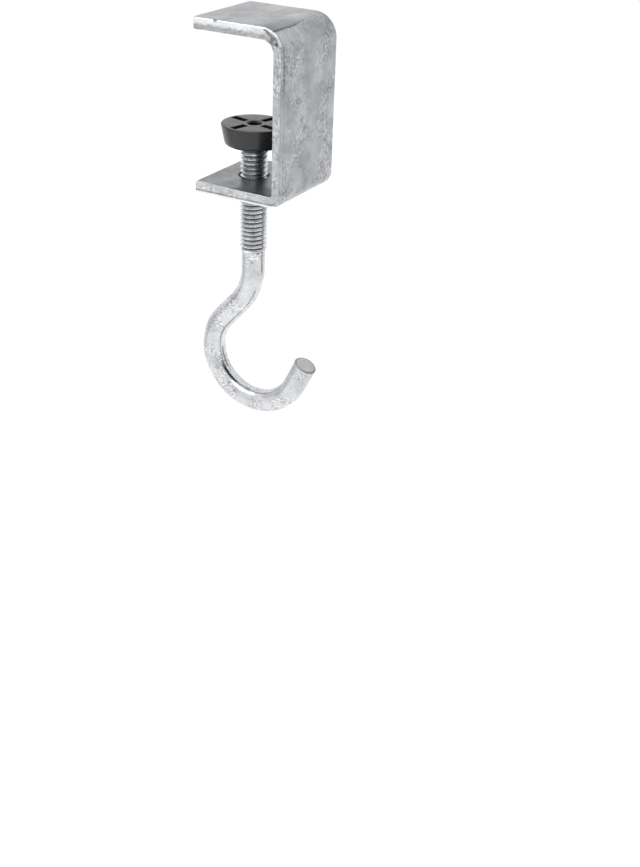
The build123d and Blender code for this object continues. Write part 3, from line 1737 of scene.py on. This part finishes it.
@dataclass
class Studio:
    """A pale floor under a soft lamp, and a white surround that metal mirrors too."""

    floor_drop: float = 260.0
    floor_size: float = 12000.0
    floor_colour: str = "F2F2F2"
    floor_glow: float = 0.24
    surround: float = 0.85
    lamps: tuple[Lamp, ...] = (
        Lamp("key_lamp", (-100.0, -560.0, 1150.0), 1500.0, 700.0, 6.5),
    )
    cards: tuple[DarkCard, ...] = (
        DarkCard("upper_right_card", "34363A", heading=-8.0, lowest=8.0, highest=112.0, width=380.0),
        DarkCard("rear_right_card", "A4A5A7", heading=34.0, lowest=-66.0, highest=20.0, width=250.0),
        DarkCard("left_card", "ECEDEF", heading=-160.0, lowest=-70.0, highest=30.0, width=340.0),
    )

    def build(self) -> None:
        """Adds the floor, the surround, the lamps and the cards."""
        low, high = Vector(cad_box[0]) / MM, Vector(cad_box[1]) / MM
        self.add_floor(low.z - self.floor_drop)
        self.add_surround()
        for prop in (*self.lamps, *self.cards):
            prop.build((low + high) / 2)

    def add_floor(self, height: float) -> None:
        """Adds the floor.

        Args:
            height: Where it lies.
        """
        half = self.floor_size / 2
        work = start_mesh()
        corners = ((-half, -half), (half, -half), (half, half), (-half, half))
        work.faces.new([add_vertex(work, Vector((x, y, height))) for x, y in corners])
        material = start_material("matt_white_paper")
        tree = material.node_tree
        paper = add_node(tree, "ShaderNodeBsdfDiffuse", {"Color": linear(self.floor_colour)})
        glow = add_node(
            tree,
            "ShaderNodeMath",
            {"operation": "MULTIPLY", "Value_001": self.floor_glow},
            {"Value": self.seen_or_mirrored(tree)},
        ).outputs["Value"]
        lit = add_node(tree, "ShaderNodeEmission", {"Color": linear(WHITE)}, {"Strength": glow})
        both = add_node(
            tree,
            "ShaderNodeAddShader",
            links={"Shader": paper.outputs["BSDF"], "Shader_001": lit.outputs["Emission"]},
        )
        add_node(tree, "ShaderNodeOutputMaterial", links={"Surface": both.outputs["Shader"]})
        floor = make_piece(work, "floor", [material], CRISP_STAGE)

    def seen_or_mirrored(self, tree: bpy.types.NodeTree) -> bpy.types.NodeSocket:
        """Tells rays that show a surface, straight, mirrored or through glass, from lighting rays.

        Args:
            tree: The node tree that asks.

        Returns:
            An output that is one for the first kind and zero for the second.
        """
        path = add_node(tree, "ShaderNodeLightPath")
        mirrored = add_node(
            tree,
            "ShaderNodeMath",
            {"operation": "MAXIMUM"},
            {"Value": path.outputs["Is Glossy Ray"], "Value_001": path.outputs["Is Transmission Ray"]},
        ).outputs["Value"]
        return add_node(
            tree,
            "ShaderNodeMath",
            {"operation": "MAXIMUM"},
            {"Value": path.outputs["Is Camera Ray"], "Value_001": mirrored},
        ).outputs["Value"]

    def add_surround(self) -> None:
        """Makes the world: white where it is seen or mirrored, a softer light where it lights."""
        world = bpy.data.worlds.new("white_surround")
        world.use_nodes = True
        bpy.context.scene.world = world
        tree = world.node_tree
        tree.nodes.clear()
        seen = self.seen_or_mirrored(tree)
        soft, bright = [
            add_node(
                tree,
                "ShaderNodeBackground",
                {"Color": linear(WHITE), "Strength": strength},
            ).outputs["Background"]
            for strength in (self.surround, 1.0)
        ]
        mixed = add_node(
            tree,
            "ShaderNodeMixShader",
            links={"Fac": seen, "Shader": soft, "Shader_001": bright},
        )
        add_node(tree, "ShaderNodeOutputWorld", links={"Surface": mixed.outputs["Shader"]})


@dataclass
class PhotoCamera:
    """The camera of the photograph, fitted to the bracket's edges. Its place is in millimetres."""

    place: tuple[float, float, float] = (221.0, -355.9, 82.8)
    azimuth: float = 28.24
    elevation: float = 29.27
    roll: float = 2.24
    lens: float = 51.57
    sensor: float = 36.0
    clip_start: float = 10.0

    def build(self) -> None:
        """Adds the camera and makes it the scene's."""
        data = bpy.data.cameras.new("photo_camera")
        data.lens = self.lens
        data.sensor_width = self.sensor
        data.clip_start = self.clip_start * MM
        camera = bpy.data.objects.new("photo_camera", data)
        camera.location = Vector(self.place) * MM
        level = Matrix.Rotation(math.radians(self.azimuth), 4, "Z")
        tilted = level @ Matrix.Rotation(math.radians(90 - self.elevation), 4, "X")
        camera.rotation_euler = (tilted @ Matrix.Rotation(math.radians(self.roll), 4, "Z")).to_euler()
        bpy.context.scene.collection.objects.link(camera)
        bpy.context.scene.camera = camera


def main() -> None:
    """Builds and dresses every piece, then the studio."""
    logging.basicConfig(level=logging.INFO, format="%(name)s: %(message)s")
    bpy.context.scene.view_settings.view_transform = "Standard"
    thread = ThreadForm()
    screw = HookScrew(thread)
    for maker in (screw, Bracket(thread, screw.thread_end), PressurePad()):
        piece = maker.build()
    Studio().build()
    PhotoCamera().build()


if __name__ == "__main__":
    main()
